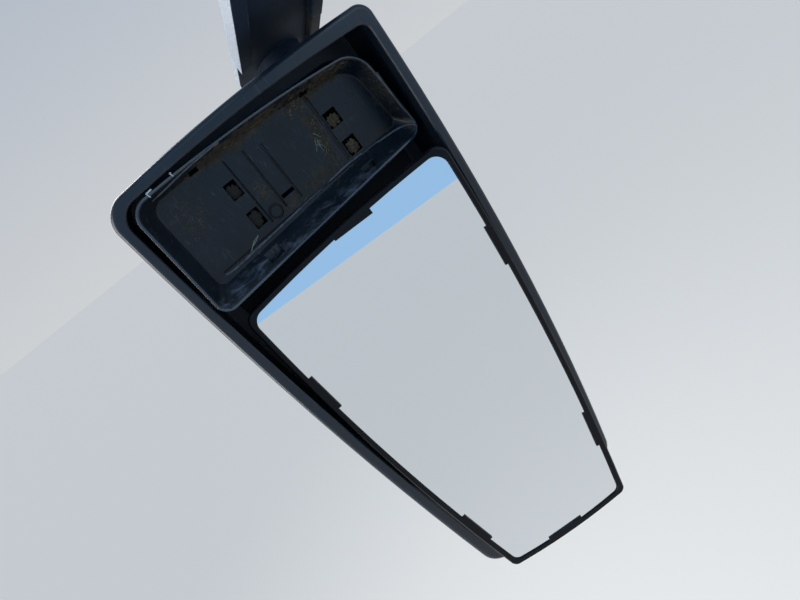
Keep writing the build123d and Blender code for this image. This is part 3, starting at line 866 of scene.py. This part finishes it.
class MIRROR_OT_crumbs(bpy.types.Operator):
    """Adds the crumbs of soil in the empty tray and the lumps of mud behind its windows"""

    bl_idname = "mirror.crumbs"
    bl_label = "Crumbs and mud"

    def execute(self, context):
        colours, sizes = settings_of(context)
        put_in_tray("tray_crumbs", lambda bm: add_crumbs(bm, sizes.crumb_count),
                    plain("soil_crumbs", colours.soil, 0.9, 0.5, 700.0), 80)
        put_in_tray("window_mud", lambda bm: add_mud(bm, pale_lumps),
                    plain("dried_mud", colours.chaff, 0.9, 0.9, 520.0, 0.0009), 60)
        put_in_tray("window_dirt", lambda bm: add_mud(bm, dark_lumps),
                    plain("dark_mud", lighter(colours.soil, 0.45), 0.9, 0.9, 700.0, 0.0009), 60)
        return {"FINISHED"}


class MIRROR_OT_streak(bpy.types.Operator):
    """Adds the pale branching streak and the bent dry stalk on the tray's floor"""

    bl_idname = "mirror.streak"
    bl_label = "Streak and stalk"

    def execute(self, context):
        colours, sizes = settings_of(context)
        put_in_tray("tray_streak", lambda bm: add_streak(bm, sizes.web_strands),
                    plain("pale_streak", colours.web, 0.85, 0.4, 500.0))
        put_in_tray("tray_stalk", add_stalk, plain("dry_stalk", lighter(colours.web, 1.5), 0.8))
        return {"FINISHED"}


# ---- Fine forms of the tray and the arm

# the beads round the tray's floor, as runs of side and height
bead_runs = (
    ((-88, -29.5), (-84, -31), (45, -26), (98, -29.8), (106.5, -31.5), (108.0, -36.5), (105.6, -42)),
    ((103.5, 24.5), (104.6, 0), (106.3, -22)),
    ((-92, 44.2), (-60, 47.6), (-30, 48.6)),
)
# clip tongues on the tray's rim: side and height of each end, width, length of the leg that turns in
tongues = ((-92.6, 50.7, -87.4, 51.2, 1.3, 3.4), (-71.3, 51.9, -69.7, 51.8, 1.0, 3.0))
# their section: share of the half width, rise in parts of 0.6 mm
tongue_section = ((-1, 0.6), (-1, -0.5), (-0.6, -0.9), (0.6, -0.9), (1, -0.5), (1, 0.6))


def add_bead(bm, corners, width):
    """A low rounded bead laid on the tray along straight runs, with rounded turns and tapered ends."""
    place, find = tray_finder()
    step, roundings, sunk = 4, 3, 0.0002
    spots = []
    for (ax, az), (bx, bz) in zip(corners, corners[1:]):
        steps = max(2, int(math.hypot(bx - ax, bz - az) / step))
        spots += [(ax + (bx - ax) * k / steps, az + (bz - az) * k / steps) for k in range(steps)]
    spots.append(corners[-1])
    for _ in range(roundings):
        inner = [tuple((a[i] + 2 * b[i] + c[i]) / 4 for i in (0, 1))
                 for a, b, c in zip(spots, spots[1:], spots[2:])]
        spots = [spots[0]] + inner + [spots[-1]]
    rings = []
    last = len(spots) - 1
    for i, (x, z) in enumerate(spots):
        point, normal = find(x, z)
        if point is None:
            continue
        (ax, az), (bx, bz) = spots[max(i - 1, 0)], spots[min(i + 1, last)]
        side = (place.to_3x3() @ Vector((bx - ax, 0, bz - az))).cross(normal).normalized()
        rise = width * 0.45 * (0.25 + 0.75 * min(i, last - i, 2) / 2)
        rings.append([point + side * (width / 2 * c) + normal * (rise * s - sunk) for c, s in half_circle(6)])
    ring_loft(bm, rings)


def add_strip(bm, start, end, width):
    """A straight strip of a clip tongue on the tray's rim, narrowed at its two ends."""
    place = wide_place()
    length = math.hypot(end[0] - start[0], end[1] - start[1])
    nx, nz = (end[1] - start[1]) / length, -(end[0] - start[0]) / length
    rings = []
    for part, share in ((0.0, 0.55), (0.12, 1.0), (0.88, 1.0), (1.0, 0.55)):
        x, z = (start[i] + (end[i] - start[i]) * part for i in (0, 1))
        half = width / 2 * share
        rings.append([spot_at(place, x + nx * side * half, lift * 0.6 - 29.0, z + nz * side * half)
                      for side, lift in tongue_section])
    ring_loft(bm, rings)


def add_rim_bead(bm, width):
    """A rounded bead all along the tray's front edge, sunk a little into it."""
    place = wide_place()
    step, sunk = 0.002, 0.0002
    back = place.inverted()
    spots = [back @ vert.co for vert in frame["nodes"]["wide_tray"].data.vertices]
    front = min(spot.y for spot in spots)
    edge = [Vector((spot.x, spot.z)) for spot in spots if spot.y < front + sunk]
    corners = [edge[i] for i in convex_hull_2d(edge)]
    path = []
    for a, b in zip(corners, corners[1:] + corners[:1]):
        steps = max(1, int((b - a).length / step))
        path += [a.lerp(b, k / steps) for k in range(steps)]
    half, rise = width / 2, width * 0.3
    rings = []
    for i, spot in enumerate(path):
        along = (path[(i + 1) % len(path)] - path[i - 1]).normalized()
        inward = Vector((-along.y, along.x))
        if inward.dot(-spot) < 0:
            inward = -inward
        ring = []
        for c, s in half_circle(8):
            at = spot + inward * half * (1 + c)
            ring.append(place @ Vector((at.x, front + sunk - rise * s, at.y)))
        rings.append(ring)
    ring_loft(bm, rings + rings[:1], capped=False)


def add_rim_tail(bm):
    """The arm's rim on the cab's side, from inside the solid rim to where it fades into the boss."""
    # millimetres across, along and up from the hinge, as in the arm's own solid
    hinge_x, boss_r, reach = -60.0, 42.5, 592.0
    half_near, widening, neck_end = 36.0, 6.5, 105.0
    inner, end_under, fall = 31.0, -98.5, math.tan(math.radians(15.0))
    start, step_along, deep, bevel, clearance = 540.0, 3.0, 6.6, 0.8, 0.05
    rings = []
    for step in range(26):
        y = start + step_along * step
        outer = half_near + widening * (y - neck_end) / (reach - neck_end)
        if y > reach:
            outer = math.sqrt(boss_r ** 2 - (y - reach) ** 2)
        # it starts inside the solid rim and comes out flush where that one stops
        hidden = max(0.0, 1.0 - step / 4)
        outer -= clearance + hidden
        if outer < inner + 2 * bevel:
            break
        side, low = inner + hidden, end_under + (reach - y) * fall + hidden
        section = ((side, low + deep), (side, low + bevel), (side + bevel, low),
                   (outer - bevel, low), (outer, low + bevel), (outer, low + deep))
        rings.append([Vector((hinge_x + x, y, z)) / 1000 for x, z in section])
    ring_loft(bm, rings)


class MIRROR_OT_beads(bpy.types.Operator):
    """Adds the fine raised beads round the tray's floor and the two clip tongues on its rim"""

    bl_idname = "mirror.beads"
    bl_label = "Beads and clip tongues"

    def execute(self, context):
        colours, sizes = settings_of(context)

        def beads(bm):
            for corners in bead_runs:
                add_bead(bm, corners, sizes.bead_width)

        def clips(bm):
            for ax, az, bx, bz, width, leg in tongues:
                add_strip(bm, (ax, az), (bx, bz), width)
                add_strip(bm, (ax + 0.4, az), (ax + 1.2, az - leg), 0.8)

        put_in_tray("tray_beads", beads, plain("bead_film", lighter(colours.film, 0.4), 0.4, 0.7, 260.0))
        put_in_tray("clip_tongues", clips, plain("pale_nylon", (0.62, 0.65, 0.7, 1), 0.35, 0.1))
        return {"FINISHED"}


class MIRROR_OT_rim_bead(bpy.types.Operator):
    """Adds the glossy rounded bead of the tray's rim, which catches the light and is coloured lighter than
    the tray as a painted highlight
    """

    bl_idname = "mirror.rim_bead"
    bl_label = "Tray rim"

    def execute(self, context):
        colours, sizes = settings_of(context)
        # painted highlight: the bead's colour is the tray's made four times lighter
        gloss = plastic("rim_gloss_painted_highlight", lighter(colours.tray, 4.0), 0.22, depth=0.00002, dust=0.1,
                        scratch=0.4, crevice=0.0, coat=0.6, shine=0.6)
        put_in_tray("tray_rim_bead", lambda bm: add_rim_bead(bm, sizes.rim_width), gloss, 60)
        return {"FINISHED"}


class MIRROR_OT_rim_tail(bpy.types.Operator):
    """Adds the end of the arm's cab-side rim, past the mouth of its recess, in painted shade"""

    bl_idname = "mirror.rim_tail"
    bl_label = "End of the arm's rim"

    def execute(self, context):
        colours, _ = settings_of(context)
        # painted shade: the coat darkened to a fifth, as the arm's own rim would shade it
        painted_shade_coat = plain("arm_coat_painted_shade", lighter(colours.coat, 0.2), 0.8, 0.2, 300.0)
        put("arm_rim_tail", add_rim_tail, painted_shade_coat, "arm_body")
        return {"FINISHED"}


# ---- Bolts, screws, threads and the nipple

# side and height from the middle of the lip
bolt_spots = ((14, 64), (14, 117), (14, 170))
screw_spots = ((-66, 186), (-62, 20), (-50, -130), (-30, -196), (30, -196), (50, -130), (62, -20))
# radius and height of the nipple
nipple_profile = (
    (2.9, 3.1), (2.6, 4.6), (1.9, 5.4), (1.9, 6.6), (2.7, 7.4), (2.9, 8.2), (2.3, 9.0), (1.0, 9.3),
)


def tipped(degrees):
    """A turn about X, which tips a turned form's Z towards Y."""
    return Matrix.Rotation(math.radians(degrees), 4, "X")


def add_screw(bm, place, radius):
    """A washer, and a domed head with a cross sunk into it."""
    washer, quarter = radius * 1.35, math.pi / 2
    turned_form(bm, place, ((washer, -0.2), (washer, 0.7), (washer - 0.3, 0.9), (radius, 0.9)), 32)
    rings = []
    for level, share in ((0.8, 1.0), (1.6, 0.97), (2.3, 0.82), (2.75, 0.6), (2.95, 0.42)):
        ring = []
        for i, (c, s) in enumerate(circle(32)):
            past = 2 * math.pi * i / 32 % quarter
            crossed = share < 0.7 and min(past, quarter - past) < 0.22
            ring.append(spot_at(place, radius * share * c, radius * share * s, level - 0.9 * crossed))
        rings.append(ring)
    rings.append([spot_at(place, 0.12 * radius * c, 0.12 * radius * s, 1.9) for c, s in circle(32)])
    ring_loft(bm, rings)


def add_thread(bm, axis, core, start, end):
    """Thread ridges round the post between two heights in millimetres."""
    pitch, root, crest = 1.5, core + 0.02, core + 0.45
    turns = int((end - start) / pitch)
    profile = [(root, start)]
    for k in range(turns):
        at = start + k * pitch
        profile += [(root, at + 0.1), (crest, at + 0.65), (crest, at + 0.85), (root, at + 1.4)]
    turned_form(bm, axis, profile + [(root, start + turns * pitch)], 40)


class MIRROR_OT_clamp_bolts(bpy.types.Operator):
    """Adds the clamp's bolts and their washers"""

    bl_idname = "mirror.clamp_bolts"
    bl_label = "Clamp bolts"

    def execute(self, context):
        colours, sizes = settings_of(context)
        across = sizes.bolt_across * 1000
        washer = across * 0.77
        profile = (washer, -0.2), (washer, 1.3), (washer - 0.4, 1.7), (across * 0.4, 1.7)

        def bolts(bm):
            for x, z in bolt_spots:
                place = head_place(x, 100.0, z) @ tipped(-90)
                turned_form(bm, place, profile, 40)
                hexagon(bm, place, across, 1.6, 7.2)

        put("clamp_bolts", bolts, metal("bolt_zinc", colours.zinc, 0.36, rust=0.35), "head")
        return {"FINISHED"}


class MIRROR_OT_housing_screws(bpy.types.Operator):
    """Adds the cross-slotted screws on the housing's back"""

    bl_idname = "mirror.housing_screws"
    bl_label = "Housing screws"

    def execute(self, context):
        colours, sizes = settings_of(context)

        def screws(bm):
            for x, z in screw_spots:
                place = head_place(x, 92.0, z) @ tipped(-90) @ Matrix.Rotation(math.radians(x), 4, "Z")
                add_screw(bm, place, sizes.screw_head * 500)

        put("housing_screws", screws, metal("screw_zinc", colours.zinc, 0.4, rust=0.5), "head")
        return {"FINISHED"}


class MIRROR_OT_post_fittings(bpy.types.Operator):
    """Adds the threads at the post's two ends and the grease nipple at the hinge"""

    bl_idname = "mirror.post_fittings"
    bl_label = "Threads and nipple"

    def execute(self, context):
        zinc = settings_of(context)[0].zinc
        low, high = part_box("head_post")
        axis = Matrix.Translation(((low.x + high.x) / 2, (low.y + high.y) / 2, 0))
        core = (high.x - low.x) * 500
        nut_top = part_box("post_nut")[1].z * 1000
        collar_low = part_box("post_collar")[0].z * 1000
        pin_low, pin_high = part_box("hinge_pin")
        nipple_spot = ((pin_low.x + pin_high.x) / 2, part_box("arm")[0].y, 0.014)

        def threads(bm):
            add_thread(bm, axis, core, nut_top + 0.05, high.z * 1000 - 0.2)
            add_thread(bm, axis, core, low.z * 1000 + 0.3, collar_low - 0.1)

        def nipple(bm):
            place = Matrix.Translation(nipple_spot) @ tipped(90)
            hexagon(bm, place, 8, -0.6, 3.2, 0.5)
            turned_form(bm, place, nipple_profile, 28)

        put("post_threads", threads, metal("thread_zinc", zinc, 0.42, rust=0.5), "arm_body")
        put("grease_nipple", nipple, metal("nipple_zinc", zinc, 0.34), "arm_body")
        return {"FINISHED"}


# ---- The studio

# name, place, width, height, power, colour; each looks at the head
lamps = (
    ("left_box", (-2.0, 0.55, -0.15), 1.0, 2.2, 42.0, (1.0, 0.97, 0.93)),
    ("back_box", (-0.9, 2.1, 1.0), 1.2, 1.2, 34.0, (1.0, 1.0, 1.0)),
    ("fill_box", (0.9, -1.5, 0.9), 1.8, 1.8, 9.0, (0.72, 0.87, 1.0)),
)


def add_lamps(scene, power):
    for name, where, width, height, watts, tint in lamps:
        data = bpy.data.lights.new(name, "AREA")
        data.shape, data.size, data.size_y = "RECTANGLE", width, height
        data.energy, data.color = watts * power, tint
        lamp = bpy.data.objects.new(name, data)
        lamp.location = where
        lamp.rotation_euler = (head_spot - lamp.location).to_track_quat("-Z", "Y").to_euler()
        scene.collection.objects.link(lamp)


def add_world(scene):
    """A pale backdrop, and an open sky behind the camera, which the black plastic mirrors."""
    world = bpy.data.worlds.new("studio")
    world.use_nodes = True
    world.node_tree.nodes.clear()
    net = Net(world.node_tree)
    toward = net.add("ShaderNodeTexCoord").outputs["Generated"]
    rise = net.remap(net.part(toward, "Z"), -0.1, 0.7)
    backdrop = net.mix(rise, (0.78, 0.80, 0.82, 1), (0.36, 0.46, 0.62, 1))
    # the camera itself sees only the backdrop
    unseen = net.math("SUBTRACT", 1.0, net.add("ShaderNodeLightPath").outputs["Is Camera Ray"])
    open_sky = net.times(net.remap(net.part(toward, "Y"), -0.25, -0.75), unseen)
    colour = net.mix(open_sky, backdrop, (0.42, 0.70, 1.06, 1))
    light = net.add("ShaderNodeBackground", {"Color": colour, "Strength": 0.8})
    net.add("ShaderNodeOutputWorld", {"Surface": light.outputs[0]})
    scene.world = world


def add_camera(scene):
    """The photo's own view: where its camera stood, and which ways it pointed."""
    right, up = Vector((0.7455, -0.3452, -0.5701)), Vector((0.6531, 0.2077, 0.7282))
    ahead = Vector((0.1329, 0.9153, -0.3803))
    data = bpy.data.cameras.new("camera")
    data.sensor_width, data.lens, data.clip_start = 36.0, 27.05, 0.01
    camera = bpy.data.objects.new("camera", data)
    turn = Matrix((right, up, -ahead)).transposed().to_4x4()
    camera.matrix_world = head_place(-60.3, -452.2, 231.4) @ turn
    scene.collection.objects.link(camera)
    scene.camera = camera


class MIRROR_OT_stage(bpy.types.Operator):
    """Sets up the floor, lamps and camera"""

    bl_idname = "mirror.stage"
    bl_label = "Studio"

    def execute(self, context):
        colours, sizes = settings_of(context)
        mesh = bpy.data.meshes.new("floor")
        span, level = 30.0, -2.6
        corners = [(-span, -span, level), (span, -span, level), (span, span, level), (-span, span, level)]
        mesh.from_pydata(corners, [], [(0, 1, 2, 3)])
        floor = bpy.data.objects.new("floor", mesh)
        context.scene.collection.objects.link(floor)
        material, net, shader, _ = new_material("floor_pale")
        shader.inputs["Base Color"].default_value = colours.floor
        shader.inputs["Roughness"].default_value = 0.9
        # the camera and the mirror see it paler than it lights the piece
        path = net.add("ShaderNodeLightPath")
        shader.inputs["Emission Color"].default_value = (0.33, 0.31, 0.28, 1)
        seen = net.most(path.outputs["Is Camera Ray"], path.outputs["Is Glossy Ray"])
        net.link(seen, shader, "Emission Strength")
        mesh.materials.append(material)
        add_world(context.scene)
        add_lamps(context.scene, sizes.light_power)
        add_camera(context.scene)
        context.scene.view_settings.view_transform = "Standard"
        return {"FINISHED"}


class MIRROR_PT_panel(bpy.types.Panel):
    """The add-on's panel"""

    bl_label = "Mirror"
    bl_idname = "MIRROR_PT_panel"
    bl_space_type = "VIEW_3D"
    bl_region_type = "UI"
    bl_category = "Mirror"

    def draw(self, context):
        for group in settings_of(context):
            for name in group.bl_rna.properties.keys():
                if name not in ("rna_type", "name"):
                    self.layout.prop(group, name)
        for step in steps:
            self.layout.operator(step.bl_idname)


steps = (
    MIRROR_OT_housing, MIRROR_OT_panes, MIRROR_OT_tray, MIRROR_OT_arm, MIRROR_OT_steel, MIRROR_OT_chaff,
    MIRROR_OT_crumbs, MIRROR_OT_streak, MIRROR_OT_beads, MIRROR_OT_rim_bead, MIRROR_OT_rim_tail,
    MIRROR_OT_clamp_bolts, MIRROR_OT_housing_screws, MIRROR_OT_post_fittings, MIRROR_OT_stage,
)
classes = (MirrorColours, MirrorSizes) + steps + (MIRROR_PT_panel,)


def register():
    for item in classes:
        bpy.utils.register_class(item)
    bpy.types.Scene.mirror_colours = bpy.props.PointerProperty(type=MirrorColours)
    bpy.types.Scene.mirror_sizes = bpy.props.PointerProperty(type=MirrorSizes)


def unregister():
    del bpy.types.Scene.mirror_sizes
    del bpy.types.Scene.mirror_colours
    for item in reversed(classes):
        bpy.utils.unregister_class(item)


def main():
    """Registers the add-on and runs its steps in order."""
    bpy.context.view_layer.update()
    register()
    bpy.ops.mirror.housing()
    bpy.ops.mirror.panes()
    bpy.ops.mirror.tray()
    bpy.ops.mirror.arm()
    bpy.ops.mirror.steel()
    bpy.ops.mirror.chaff()
    bpy.ops.mirror.crumbs()
    bpy.ops.mirror.streak()
    bpy.ops.mirror.beads()
    bpy.ops.mirror.rim_bead()
    bpy.ops.mirror.rim_tail()
    bpy.ops.mirror.clamp_bolts()
    bpy.ops.mirror.housing_screws()
    bpy.ops.mirror.post_fittings()
    bpy.ops.mirror.stage()


if __name__ == "__main__":
    main()
